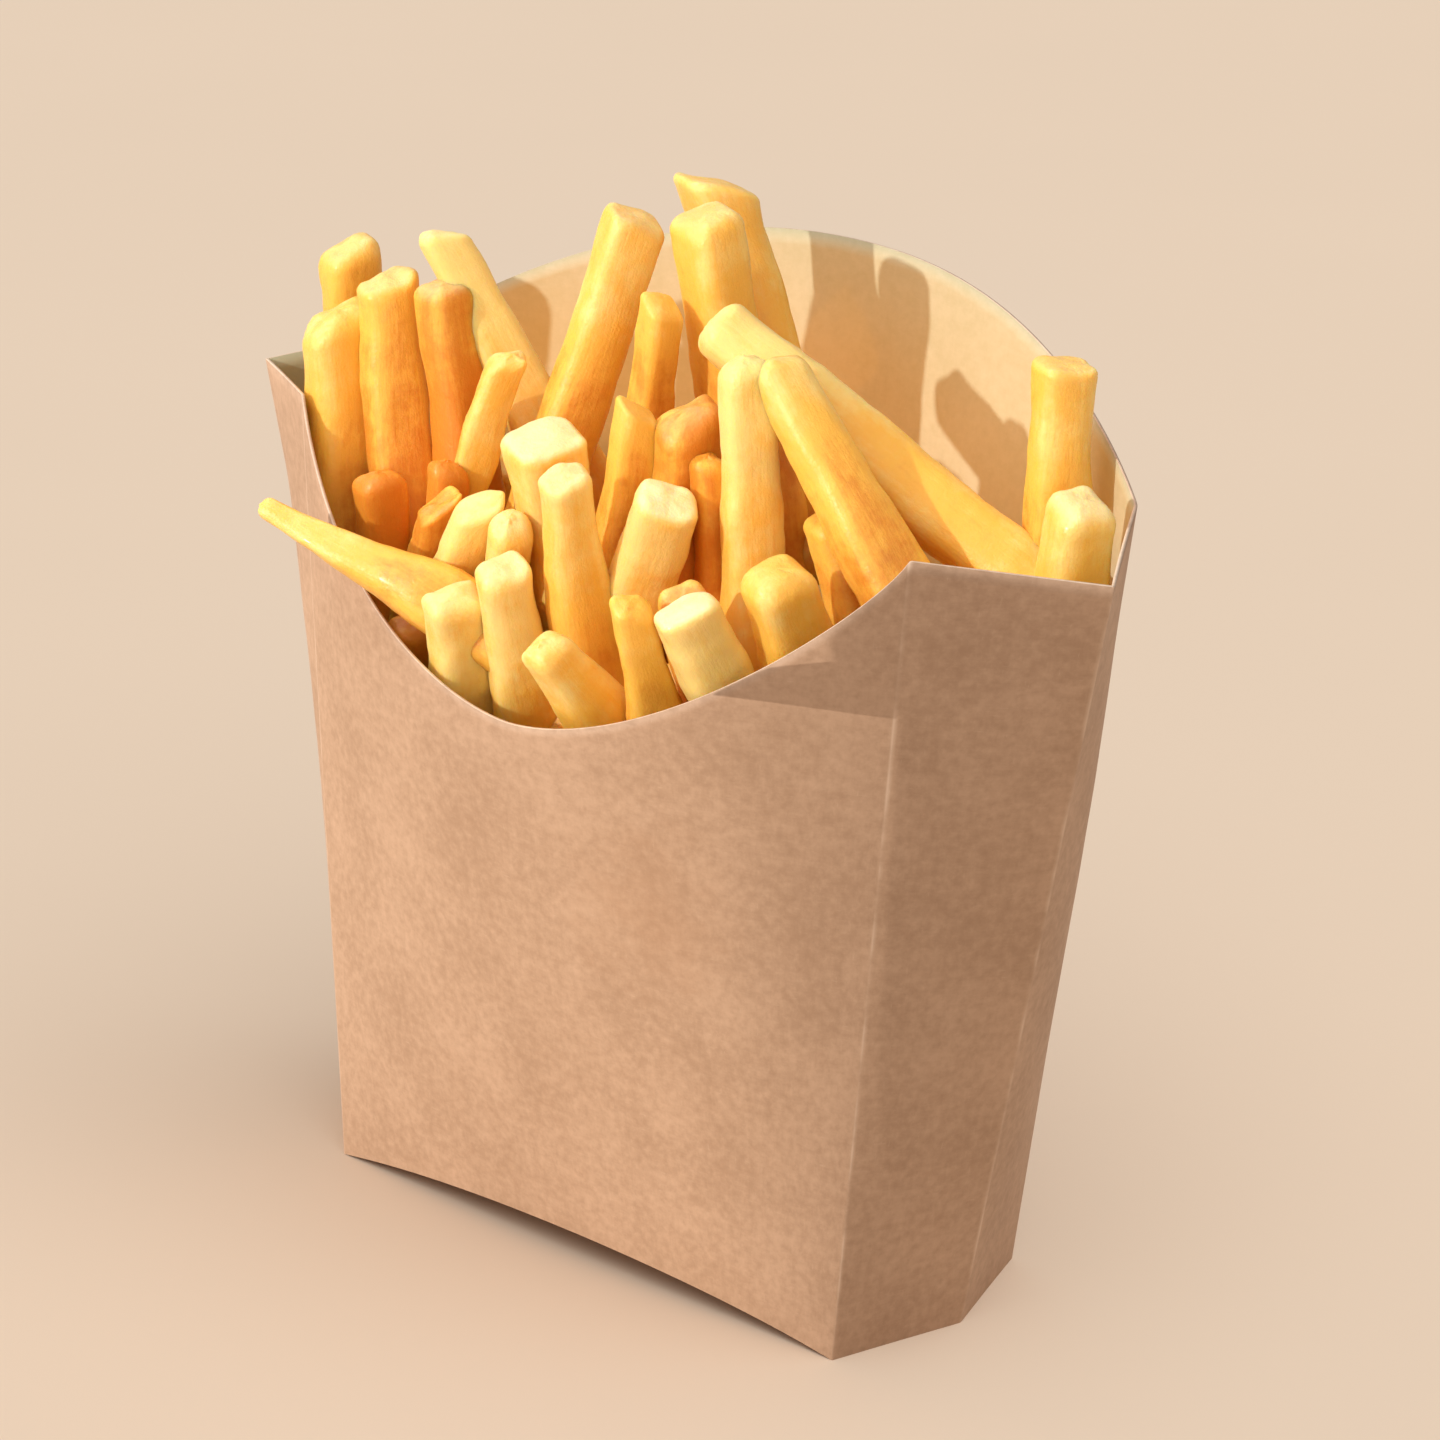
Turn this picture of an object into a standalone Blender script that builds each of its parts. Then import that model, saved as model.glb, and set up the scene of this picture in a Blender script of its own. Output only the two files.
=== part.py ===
# French fries in a folded paperboard scoop carton.
# Metres, +Z up. The carton's front is -Y and its origin is on the table, under the middle of its mouth.
# Two objects: the carton, one folded sheet of board, and the fries, one heap with the fries that show.

import math
import random
from collections import namedtuple

import bmesh
import bpy
from mathutils import Matrix, Vector

MM = 0.001

# Board, and the three upright creases on each side as (x, y, z) at the foot and at the mouth.
BOARD = 0.5
FRONT_FOOT, FRONT_TOP = Vector((51.5, -22, 0)), Vector((60, -19, 126))
GUSSET_FOOT, GUSSET_TOP = Vector((58.5, 0, 0)), Vector((84, -4, 124))
BACK_FOOT, BACK_TOP = Vector((51.5, 22, 0)), Vector((71, 19, 127.5))
BULGE = 22              # how far the front and back bow outward at the mouth
BULGE_GROWTH = 0.85     # how the front's bow grows with height
SCOOP_DEPTH = 34        # the dip in the front panel's top edge
BACK_RISE = 22.5        # the arc of the back panel's top edge
BASE_ARCH = 4           # the bottom edges arch off the table between the corners
PANEL_STRIPS = 28
PANEL_ROWS = 10

# The bare heap under the fries that show.
HEAP_FROM_BOARD = 1.6
HEAP_FLOOR = 2.2
HEAP_RINGS = (0.0, 30.0, 58.0)
HEAP_FRONT, HEAP_SIDE, HEAP_BACK, HEAP_CROWN = 78, 88, 94, 97
HEAP_SHOULDER = 8
HEAP_DOME = (0.9, 0.8)
HEAP_SIDES = 10

# A fry's corners, its soft ends, and where its length is divided.
CORNER = 0.22
END_SOFTENING = 1.6
END_SHRINK = 0.13
DIVISIONS = (0.35, 0.7)
SLANT_FROM = 0.7
AT_END = 0.001
FRY_FROM_BOARD = 1.0
FRY_HALF = 0.6          # a fry's half diagonal, as a share of its width

# Each fry that shows: its tip and foot in mm, width and depth of its cut, twist in degrees, sideways bow,
# and the slope of its cut tip across the width and the depth.
Fry = namedtuple("Fry", "tip foot width depth twist bow slant")
LEFT_STAND = (
    Fry((-67, -2, 146), (-65, -1, 84), 8.0, 8.0, 70, 0, (0.25, 0.2)),
    Fry((-59, -12, 138), (-53, -13, 64), 9.0, 8.5, 70, 0.6, (-0.25, 0.3)),
    Fry((-52, -9, 144), (-39, -12, 66), 8.2, 8.0, 65, -1, (0, 0.3)),
    Fry((-42, -7, 146), (-32, -6, 72), 8.2, 8.0, 80, 0.8, (0, 0.3)),
    Fry((-43, -5, 152), (-10, 9, 91), 8.0, 7.5, 60, 1, (0.3, 0.2)),
    Fry((-24, -7, 138), (-45, -13, 80), 7.0, 7.0, 50, 0.5, (0, 0.2)),
    Fry((-44, -20, 118), (-50, -4, 84), 8.0, 7.5, 70, 0, (0, 0.3)),
    Fry((-33, -15, 120), (-41, -12, 81), 6.5, 6.5, 60, 0, (0, 0.3)),
)
CENTRE = (
    Fry((-14, 6, 159), (-31, -16, 73), 9.0, 8.0, 60, 0, (0.05, 0.25)),
    Fry((-8, 15, 162), (16, 26, 82), 9.0, 8.0, 65, 0, (0.45, 0)),
    Fry((-1, 7, 161), (11, 17, 83), 9.5, 8.5, 75, 0, (-0.1, 0.3)),
    Fry((-2, -1, 148), (-11, 1, 87), 7.2, 7.0, 75, 0, (0.4, 0.2)),
    Fry((9, -8, 137), (5, -1, 88), 8.2, 8.0, 70, 0, (-0.2, 0.4)),
    Fry((3, -12, 136), (-4, -11, 82), 6.8, 6.8, 65, 0, (0.5, 0)),
    Fry((-9, -18, 132), (-12, -7, 78), 9.5, 9.0, 70, 0, (0, 0.5)),
    Fry((1, -26, 129), (1, -12, 71), 8.5, 8.0, 70, 0.5, (0.1, 0.5)),
    Fry((14, -17, 126), (-7, -11, 81), 8.0, 8.0, 45, 0, (0, 0.5)),
    Fry((14, -9, 129), (12, -3, 85), 7.0, 7.0, 60, 0, (0.2, 0.2)),
)
RIGHT_FAN = (
    Fry((7, 1, 146), (62, 13, 112), 9.0, 8.5, 55, 1, (0.1, 0.1)),
    Fry((23, -3, 144), (64, -6, 98), 9.0, 8.5, 70, 1, (0.2, 0.3)),
    Fry((21, -8, 145), (24, -6, 75), 8.4, 8.0, 60, 0, (0, 0.3)),
    Fry((28, -5, 128), (44, 2, 86), 7.5, 7.0, 65, 0, (0, 0.2)),
    Fry((58, 18, 146), (59, 16, 104), 8.5, 8.0, 55, 0, (0.05, 0.1)),
    Fry((69, 8, 131), (66, 9, 96), 8.6, 8.2, 70, 0, (0.1, 0.3)),
    Fry((75, 0, 109), (34, 8, 97), 8.5, 8.0, 20, 0, (0.1, 0.2)),
    Fry((54, 20, 111), (20, 15, 97), 8.5, 8.0, 15, 0, (0, 0.2)),
)
FRONT_ROW = (
    Fry((36, -19, 121), (36, -9, 89), 9.5, 9.0, 75, 0, (0.1, 0.3)),
    Fry((29, -29, 115), (25, -13, 83), 8.5, 8.5, 65, 0, (0, 0.6)),
    Fry((19, -31, 114), (16, -19, 82), 7.5, 7.0, 60, 0, (0.4, 0.2)),
    Fry((22, -23, 115), (16, -10, 91), 7.5, 7.0, 70, 0, (0, 0.3)),
    Fry((7, -37, 106), (11, -16, 80), 8.5, 8.0, 75, 0, (0, 0.3)),
    Fry((-6, -31, 116), (-11, -18, 73), 8.0, 8.0, 60, 0, (0, 0.4)),
    Fry((-14, -33, 109), (-22, -22, 73), 8.8, 8.0, 65, 0, (0, 0.3)),
    Fry((-11, -25, 118), (-21, -15, 80), 6.0, 6.0, 60, 0, (0, 0.3)),
    Fry((-20, -23, 118), (-38, -18, 82), 8.0, 8.0, 55, 0, (-0.2, 0.3)),
    Fry((-30, -21, 116), (-43, -12, 83), 6.5, 6.5, 60, 0, (-0.3, 0.2)),
    Fry((-29, -27, 99), (-34, -17, 71), 7.5, 7.0, 65, 0, (0, 0.3)),
)
OVER_THE_RIM = Fry((-50, -37, 115), (-9, -25, 104), 8.2, 7.5, 40, -0.5, (0.5, 0))
SHOWN = LEFT_STAND + CENTRE + RIGHT_FAN + FRONT_ROW

# Fries that fill in between and behind the ones above, drawn by a seeded rule.
FILL_SEED = 11
FILL_TRIES = 5000
FILL_MOST = 36
FILL_ACROSS, FILL_BACK = (-76, 76), (-12, 38)
FILL_FOOT = (70, 84)
FILL_SHORTEST = 20
FILL_LEAN = 0.9
FILL_SPACING = 7.2
FILL_CEILING_SPREAD = 8
FILL_WIDTH, FILL_FLATTER, FILL_SLANT = (7, 9), 0.5, 0.25
FILL_CEILING, FILL_CEILING_PER_Y, FILL_CEILING_PER_X, FILL_CEILING_MOST = 106, 0.6, -0.06, 115


def towards(low, high, share):
    """The point a share of the way from low to high."""
    return low + (high - low) * share


def scoop_height(s):
    """Height of the front panel's edge, with s from -1 to 1 across the panel."""
    return FRONT_TOP.z - SCOOP_DEPTH * (1 - abs(s) ** 1.7) ** 0.8


def back_height(s):
    return BACK_TOP.z + BACK_RISE * (1 - abs(s) ** 2.15) ** 0.9


def base_height(s):
    return BASE_ARCH * (1 - s * s)


def front_point(s, z):
    """A point of the front panel's outer face."""
    t = z / FRONT_TOP.z
    crease = towards(FRONT_FOOT, FRONT_TOP, t)
    return Vector((crease.x * s, crease.y - BULGE * max(t, 0) ** BULGE_GROWTH * (1 - s * s), z))


def back_point(s, share):
    """A point of the back panel's outer face, at a share of the way up its own height."""
    foot = Vector((BACK_FOOT.x * s, BACK_FOOT.y, base_height(s)))
    top = Vector((BACK_TOP.x * s, BACK_TOP.y + BULGE * (1 - s * s), back_height(s)))
    return towards(foot, top, share)


def panel_steps():
    """Positions across a panel, closer together near its creases, where its edge turns fastest."""
    return [math.sin(math.pi * (i / PANEL_STRIPS - 0.5)) for i in range(PANEL_STRIPS + 1)]


def board_columns():
    """Columns of points round the carton, each from the foot to the mouth."""
    steps = panel_steps()
    shares = [row / PANEL_ROWS for row in range(PANEL_ROWS + 1)]
    front = [
        [front_point(s, base_height(s) + (scoop_height(s) - base_height(s)) * share) for share in shares]
        for s in steps
    ]
    back = [[back_point(-s, share) for share in shares] for s in steps]
    right = [towards(GUSSET_FOOT, GUSSET_TOP, share) for share in shares]
    left = [Vector((-p.x, p.y, p.z)) for p in right]
    return front, [right], back, [left]


def new_object(name, bm, material, collection):
    mesh = bpy.data.meshes.new(name)
    bm.to_mesh(mesh)
    bm.free()
    if material:
        mesh.materials.append(material)
    made = bpy.data.objects.new(name, mesh)
    collection.objects.link(made)
    return made


def make_material(name, colour, roughness):
    material = bpy.data.materials.new(name)
    material.use_nodes = True
    shader = material.node_tree.nodes["Principled BSDF"]
    shader.inputs["Base Color"].default_value = (*colour, 1)
    shader.inputs["Roughness"].default_value = roughness
    shader.inputs["Metallic"].default_value = 0
    return material


def make_carton(material, collection):
    """One sheet of board: the walls as a loft of columns, and the arched bottom between them."""
    bm = bmesh.new()
    front, right, back, left = (
        [[bm.verts.new(p * MM) for p in column] for column in side] for side in board_columns()
    )
    around = front + right + back + left
    for column, beside in zip(around, around[1:] + around[:1]):
        for row in range(PANEL_ROWS):
            bm.faces.new((column[row], beside[row], beside[row + 1], column[row + 1]))
    front_edge = [column[0] for column in front]
    back_edge = [column[0] for column in reversed(back)]
    for i in range(PANEL_STRIPS):
        bm.faces.new((front_edge[i], back_edge[i], back_edge[i + 1], front_edge[i + 1]))
    bm.faces.new((front_edge[-1], back_edge[-1], right[0][0]))
    bm.faces.new((front_edge[0], left[0][0], back_edge[0]))
    bm.normal_update()
    carton = new_object("carton", bm, material, collection)
    board = carton.modifiers.new("Board", "SOLIDIFY")
    board.thickness = BOARD * MM
    board.offset = -1
    board.use_even_offset = True
    return carton


def wall_outline(z, gap):
    """The inside of the carton at height z, drawn in by a gap from its outer face."""
    gusset = towards(GUSSET_FOOT, GUSSET_TOP, z / GUSSET_TOP.z)
    inward = 1 - gap / FRONT_FOOT.x
    steps = [-1 + 2 * i / HEAP_SIDES for i in range(HEAP_SIDES + 1)]
    outline = []
    for s in steps:
        point = front_point(s, z)
        outline.append(Vector((point.x * inward, point.y + gap, z)))
    outline.append(Vector((gusset.x - 2 * gap, gusset.y, z)))
    for s in reversed(steps):
        point = back_point(s, z / back_height(s))
        outline.append(Vector((point.x * inward, point.y - gap, z)))
    outline.append(Vector((-gusset.x + 2 * gap, gusset.y, z)))
    return outline


def heap_top(point):
    """How high the bare heap reaches beside the board: lowest behind the scoop."""
    side = min(abs(point.x) / FRONT_TOP.x, 1) ** 3
    middle = HEAP_FRONT if point.y < 0 else HEAP_BACK
    return middle + (HEAP_SIDE - middle) * side


def make_heap(material, collection):
    """A closed loft that follows the walls inside and rises to a low crown."""
    bm = bmesh.new()
    rings = []
    for z in HEAP_RINGS:
        follows_base = 1 - z / HEAP_RINGS[-1]
        ring = wall_outline(z, HEAP_FROM_BOARD)
        for point in ring:
            point.z += HEAP_FLOOR + base_height(min(abs(point.x) / FRONT_FOOT.x, 1)) * follows_base
        rings.append(ring)
    edge = wall_outline(HEAP_FRONT - HEAP_SHOULDER, HEAP_FROM_BOARD)
    rings.append([Vector((p.x, p.y, heap_top(p) - HEAP_SHOULDER)) for p in edge])
    rings.append([Vector((p.x * HEAP_DOME[0], p.y * HEAP_DOME[1], heap_top(p))) for p in edge])
    loops = [[bm.verts.new(p * MM) for p in ring] for ring in rings]
    for low, high in zip(loops, loops[1:]):
        for i, vert in enumerate(low):
            after = (i + 1) % len(low)
            bm.faces.new((vert, low[after], high[after], high[i]))
    crown = bm.verts.new(Vector((0, 0, HEAP_CROWN)) * MM)
    floor = bm.verts.new(Vector((0, 0, HEAP_FLOOR + BASE_ARCH)) * MM)
    for i in range(len(rings[0])):
        after = (i + 1) % len(rings[0])
        bm.faces.new((loops[-1][i], loops[-1][after], crown))
        bm.faces.new((loops[0][after], loops[0][i], floor))
    return new_object("fries", bm, material, collection)


def fry_frame(fry):
    """The rotation that stands a fry along its own line, twisted about it."""
    along = (Vector(fry.tip) - Vector(fry.foot)).normalized()
    across = Vector((0, 1, 0)).cross(along).normalized()
    turn = Matrix.Rotation(math.radians(fry.twist), 3, along)
    across = turn @ across
    return Matrix((across, along.cross(across), along)).transposed()


def fry_mesh(fry):
    """A cut fry: a bar with its long corners taken off, soft ends, a slanted tip and a slight bow."""
    length = (Vector(fry.tip) - Vector(fry.foot)).length
    bm = bmesh.new()
    bmesh.ops.create_cube(bm, size=1)
    bmesh.ops.scale(bm, vec=(fry.width, fry.depth, length), verts=bm.verts)
    bmesh.ops.translate(bm, vec=(0, 0, length / 2), verts=bm.verts)
    upright = [e for e in bm.edges if abs(e.verts[0].co.z - e.verts[1].co.z) > length / 2]
    bmesh.ops.bevel(bm, geom=upright, offset=CORNER * min(fry.width, fry.depth), segments=1, affect="EDGES")
    for z in (length * DIVISIONS[0], length * DIVISIONS[1], length - END_SOFTENING):
        everything = bm.verts[:] + bm.edges[:] + bm.faces[:]
        bmesh.ops.bisect_plane(bm, geom=everything, plane_co=(0, 0, z), plane_no=(0, 0, 1))
    for vert in bm.verts:
        share = vert.co.z / length
        at_end = min(abs(share), abs(1 - share)) < AT_END
        narrowed = 1 - END_SHRINK if at_end else 1
        drop = fry.slant[0] * vert.co.x + fry.slant[1] * vert.co.y
        drop += abs(fry.slant[0]) * fry.width / 2 + abs(fry.slant[1]) * fry.depth / 2
        vert.co.x *= narrowed
        vert.co.y = vert.co.y * narrowed + 4 * share * (1 - share) * fry.bow
        vert.co.z -= drop * max(0, (share - SLANT_FROM) / (1 - SLANT_FROM))
    bmesh.ops.rotate(bm, cent=(0, 0, 0), matrix=fry_frame(fry), verts=bm.verts)
    bmesh.ops.translate(bm, vec=fry.foot, verts=bm.verts)
    bmesh.ops.scale(bm, vec=(MM, MM, MM), verts=bm.verts)
    return bm


def crosses_board(fry):
    """Whether a standing fry comes too near the walls anywhere below their edge."""
    for share in (0, 0.25, 0.5, 0.75, 1):
        centre = towards(Vector(fry.foot), Vector(fry.tip), share)
        outline = wall_outline(min(centre.z, FRONT_TOP.z), FRY_FROM_BOARD + fry.width * FRY_HALF)
        signs = [
            (b.x - a.x) * (centre.y - a.y) - (b.y - a.y) * (centre.x - a.x)
            for a, b in zip(outline, outline[1:] + outline[:1])
        ]
        if min(signs) < 0:
            return True
    return False


def spacing(fry, other):
    """The least distance between two fries' centre lines, sampled over their upper parts."""
    shares = (0.4, 0.55, 0.7, 0.85, 1)
    mine, theirs = ([towards(Vector(f.foot), Vector(f.tip), share) for share in shares] for f in (fry, other))
    return min((a - b).length for a in mine for b in theirs)


def fill_in():
    """Shorter fries thrown into the free space by a seeded draw, and kept where they have room."""
    draw = random.Random(FILL_SEED)
    kept = []
    for _ in range(FILL_TRIES):
        x, y = draw.uniform(*FILL_ACROSS), draw.uniform(*FILL_BACK)
        ceiling = FILL_CEILING + FILL_CEILING_PER_Y * y + FILL_CEILING_PER_X * x
        z = min(ceiling, FILL_CEILING_MOST) - draw.uniform(0, FILL_CEILING_SPREAD)
        heading, lean = draw.uniform(0, math.tau), FILL_LEAN * math.sqrt(draw.random())
        reach = Vector((math.cos(heading) * math.tan(lean), math.sin(heading) * math.tan(lean), 1))
        tip = Vector((x, y, z))
        drop = z - draw.uniform(*FILL_FOOT)
        width = draw.uniform(*FILL_WIDTH)
        slant = (draw.uniform(-FILL_SLANT, FILL_SLANT), draw.uniform(0, FILL_SLANT))
        fry = Fry(tip, tip - reach * drop, width, width - FILL_FLATTER, draw.uniform(-90, 90), 0, slant)
        if drop < FILL_SHORTEST or len(kept) == FILL_MOST or crosses_board(fry):
            continue
        if all(spacing(fry, other) > FILL_SPACING for other in (*SHOWN, OVER_THE_RIM, *kept)):
            kept.append(fry)
    return kept


def outer_shell(mesh):
    """Leaves only the largest shell: hollows sealed by the union are filled and loose scraps dropped."""
    bm = bmesh.new()
    bm.from_mesh(mesh)
    unseen, shells = set(bm.faces), []
    while unseen:
        reached, found = [unseen.pop()], []
        while reached:
            face = reached.pop()
            found.append(face)
            beside = {other for edge in face.edges for other in edge.link_faces} & unseen
            unseen -= beside
            reached.extend(beside)
        shells.append(found)
    largest = max(shells, key=lambda faces: sum(face.calc_area() for face in faces))
    others = [face for faces in shells if faces is not largest for face in faces]
    bmesh.ops.delete(bm, geom=others, context="FACES")
    bm.to_mesh(mesh)
    bm.free()


def make_fries(material, collection, cutters):
    """The heap with every fry joined to it by one union."""
    heap = make_heap(material, collection)
    for i, fry in enumerate((*SHOWN, OVER_THE_RIM, *fill_in())):
        new_object(f"fry_{i:02d}", fry_mesh(fry), None, cutters)
    join = heap.modifiers.new("Join", "BOOLEAN")
    join.operation = "UNION"
    join.operand_type = "COLLECTION"
    join.collection = cutters
    join.solver = "MANIFOLD"
    bpy.context.view_layer.update()
    joined = bpy.data.meshes.new_from_object(heap.evaluated_get(bpy.context.evaluated_depsgraph_get()))
    outer_shell(joined)
    heap.modifiers.remove(join)
    heap.data = joined
    for piece in list(cutters.objects):
        bpy.data.objects.remove(piece)
    bpy.data.collections.remove(cutters)
    return heap


def main():
    for old in list(bpy.data.objects):
        bpy.data.objects.remove(old)
    scene = bpy.context.scene.collection
    parts = bpy.data.collections.new("french_fries_in_carton")
    pieces = bpy.data.collections.new("fry_pieces")
    scene.children.link(parts)
    scene.children.link(pieces)
    kraft = make_material("kraft_board", (0.60, 0.37, 0.22), 0.8)
    potato = make_material("fried_potato", (0.80, 0.45, 0.10), 0.55)
    make_carton(kraft, parts)
    make_fries(potato, parts, pieces)


main()
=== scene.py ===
# French fries in a folded kraft carton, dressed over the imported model.
# Shapes are worked out in millimetres, and mm turns them into metres.
import math
import random
from collections import namedtuple

import bpy
from mathutils import Matrix, Vector, noise


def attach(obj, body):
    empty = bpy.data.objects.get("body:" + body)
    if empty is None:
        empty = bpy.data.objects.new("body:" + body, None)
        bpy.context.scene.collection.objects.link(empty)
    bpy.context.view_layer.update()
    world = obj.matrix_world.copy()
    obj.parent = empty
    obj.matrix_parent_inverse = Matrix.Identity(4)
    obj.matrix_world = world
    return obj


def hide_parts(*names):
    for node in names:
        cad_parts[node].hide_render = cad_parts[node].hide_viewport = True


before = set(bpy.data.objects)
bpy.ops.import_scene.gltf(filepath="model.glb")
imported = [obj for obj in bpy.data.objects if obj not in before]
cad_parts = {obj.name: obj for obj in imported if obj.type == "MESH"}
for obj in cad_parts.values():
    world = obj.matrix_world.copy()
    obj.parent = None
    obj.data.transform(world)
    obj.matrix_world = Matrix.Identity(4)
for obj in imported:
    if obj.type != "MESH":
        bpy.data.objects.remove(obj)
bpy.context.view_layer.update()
print("frame loaded, nodes:", sorted(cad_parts))

mm = 0.001


def mix(low, high, share):
    return low + (high - low) * share


def smooth(low, high, value):
    # 0 below low, 1 above high, with a soft start and end
    share = min(max((value - low) / (high - low), 0), 1)
    return share * share * (3 - 2 * share)


def makePiece(name, points, faces, materials, values=None, vectors=None):
    # values and vectors hold a name and one number or one vector for each point
    mesh = bpy.data.meshes.new(name)
    mesh.from_pydata([tuple(p * mm) for p in points], [], faces)
    for title, data in (values or {}).items():
        mesh.attributes.new(title, "FLOAT", "POINT").data.foreach_set("value", data)
    for title, data in (vectors or {}).items():
        flat = [number for vector in data for number in vector]
        mesh.attributes.new(title, "FLOAT_VECTOR", "POINT").data.foreach_set("vector", flat)
    for material in materials:
        mesh.materials.append(material)
    mesh.shade_smooth()
    piece = bpy.data.objects.new(name, mesh)
    bpy.context.scene.collection.objects.link(piece)
    return piece


# Small helpers for building shaders

def addNode(tree, kind, x, y, **settings):
    node = tree.nodes.new(kind)
    node.location = (x, y)
    for key, value in settings.items():
        setattr(node, key, value)
    return node


def fill(node, **inputs):
    # inputs are written with their spaces left out: fill(noise, Scale=3)
    named = {socket.name.replace(" ", ""): socket for socket in reversed(node.inputs)}
    for key, value in inputs.items():
        named[key].default_value = value


def mathNode(tree, operation, first, second, x, y):
    node = addNode(tree, "ShaderNodeMath", x, y, operation=operation)
    for socket, value in zip(node.inputs, (first, second)):
        if isinstance(value, (int, float)):
            socket.default_value = value
        elif value is not None:
            tree.links.new(value, socket)
    return node.outputs[0]


def spread(tree, value, fromLow, fromHigh, toLow, toHigh, x, y):
    node = addNode(tree, "ShaderNodeMapRange", x, y, interpolation_type="SMOOTHSTEP")
    for socket, number in zip(list(node.inputs)[1:5], (fromLow, fromHigh, toLow, toHigh)):
        socket.default_value = number
    tree.links.new(value, node.inputs["Value"])
    return node.outputs["Result"]


def blendColour(tree, share, first, second, x, y, kind="MIX"):
    # share, first and second are sockets, or plain numbers and colours
    node = addNode(tree, "ShaderNodeMix", x, y, data_type="RGBA", blend_type=kind)
    for socket, value in ((node.inputs[0], share), (node.inputs[6], first), (node.inputs[7], second)):
        if isinstance(value, (int, float)):
            socket.default_value = value
        elif isinstance(value, tuple):
            socket.default_value = (*value, 1)
        else:
            tree.links.new(value, socket)
    return node.outputs[2]


def noiseNode(tree, vector, scale, detail, x, y, roughness=0.5, stretch=None):
    if stretch:
        scaled = addNode(tree, "ShaderNodeVectorMath", x - 180, y, operation="MULTIPLY")
        scaled.inputs[1].default_value = stretch
        tree.links.new(vector, scaled.inputs[0])
        vector = scaled.outputs[0]
    node = addNode(tree, "ShaderNodeTexNoise", x, y)
    fill(node, Scale=scale, Detail=detail, Roughness=roughness)
    tree.links.new(vector, node.inputs["Vector"])
    return node.outputs["Fac"]


def newGroup(name, inputs, outputs):
    tree = bpy.data.node_groups.new(name, "ShaderNodeTree")
    for title, kind, start in inputs:
        socket = tree.interface.new_socket(title, in_out="INPUT", socket_type=kind)
        if start is not None:
            socket.default_value = start
    for title, kind in outputs:
        tree.interface.new_socket(title, in_out="OUTPUT", socket_type=kind)
    return tree, addNode(tree, "NodeGroupInput", -1200, 0), addNode(tree, "NodeGroupOutput", 900, 0)


def newMaterial(name):
    material = bpy.data.materials.new(name)
    material.use_nodes = True
    tree = material.node_tree
    shader = tree.nodes["Principled BSDF"]
    shader.location = (500, 0)
    tree.nodes["Material Output"].location = (800, 0)
    return material, tree, shader


def addBump(tree, shader, height, strength, distance):
    bump = addNode(tree, "ShaderNodeBump", 250, -350)
    fill(bump, Strength=strength, Distance=distance)
    tree.links.new(height, bump.inputs["Height"])
    tree.links.new(bump.outputs["Normal"], shader.inputs["Normal"])


def readVector(tree, title, x, y):
    return addNode(tree, "ShaderNodeAttribute", x, y, attribute_name=title).outputs["Vector"]


def readValue(tree, title, x, y):
    return addNode(tree, "ShaderNodeAttribute", x, y, attribute_name=title).outputs["Fac"]


# Kraft board: the mottling, fibres and flecks that its outside, inside and cut edge share

paperGrain = {
    "clouds": (0.05, 0.4), "grain": (0.55, 0.42),       # size, as 1 over mm, and share of the tone
    "fibreSize": 1.0, "fibreShare": 0.06,
    "across": (0.35, 3.2, 1), "along": (2.6, 0.4, 1),   # how the fibres of each direction are drawn out
    "contrast": (0.3, 0.64),
    "fleckFrom": (0.66, 0.74), "fleck": (0.78, 0.61, 0.45),
}


def makeKraftGroup():
    tree, given, result = newGroup(
        "kraftPaper",
        [("Sheet", "NodeSocketVector", None), ("Dark", "NodeSocketColor", (0.5, 0.3, 0.18, 1)),
         ("Light", "NodeSocketColor", (0.66, 0.42, 0.27, 1)), ("Flecks", "NodeSocketFloat", 0.3)],
        [("Color", "NodeSocketColor"), ("Height", "NodeSocketFloat")])
    sheet = given.outputs["Sheet"]
    cloudSize, cloudy = paperGrain["clouds"]
    grainSize, grainy = paperGrain["grain"]
    fibres = paperGrain["fibreSize"]
    clouds = noiseNode(tree, sheet, cloudSize, 5, -900, 300, 0.6)
    grain = noiseNode(tree, sheet, grainSize, 4, -900, 100, 0.65)
    across = noiseNode(tree, sheet, fibres, 3, -900, -100, 0.6, stretch=paperGrain["across"])
    along = noiseNode(tree, sheet, fibres, 3, -900, -300, 0.6, stretch=paperGrain["along"])
    cloudShare = mathNode(tree, "MULTIPLY", clouds, cloudy, -650, 300)
    grainShare = mathNode(tree, "MULTIPLY", grain, grainy, -650, 150)
    fibre = mathNode(tree, "ADD", across, along, -650, -150)
    fibreShare = mathNode(tree, "MULTIPLY", fibre, paperGrain["fibreShare"], -500, -100)
    tone = mathNode(tree, "ADD", cloudShare, grainShare, -450, 250)
    tone = mathNode(tree, "ADD", tone, fibreShare, -300, 200)
    tone = spread(tree, tone, *paperGrain["contrast"], 0, 1, -150, 200)
    colour = blendColour(tree, tone, given.outputs["Dark"], given.outputs["Light"], 50, 200)
    crossed = mathNode(tree, "MAXIMUM", across, along, -500, -300)
    flecks = spread(tree, crossed, *paperGrain["fleckFrom"], 0, 1, -300, -300)
    flecks = mathNode(tree, "MULTIPLY", flecks, given.outputs["Flecks"], -100, -300)
    colour = blendColour(tree, flecks, colour, paperGrain["fleck"], 300, 100)
    height = mathNode(tree, "ADD", fibreShare, grain, 300, -200)
    tree.links.new(colour, result.inputs["Color"])
    tree.links.new(height, result.inputs["Height"])
    return tree


kraftGroup = makeKraftGroup()

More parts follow.
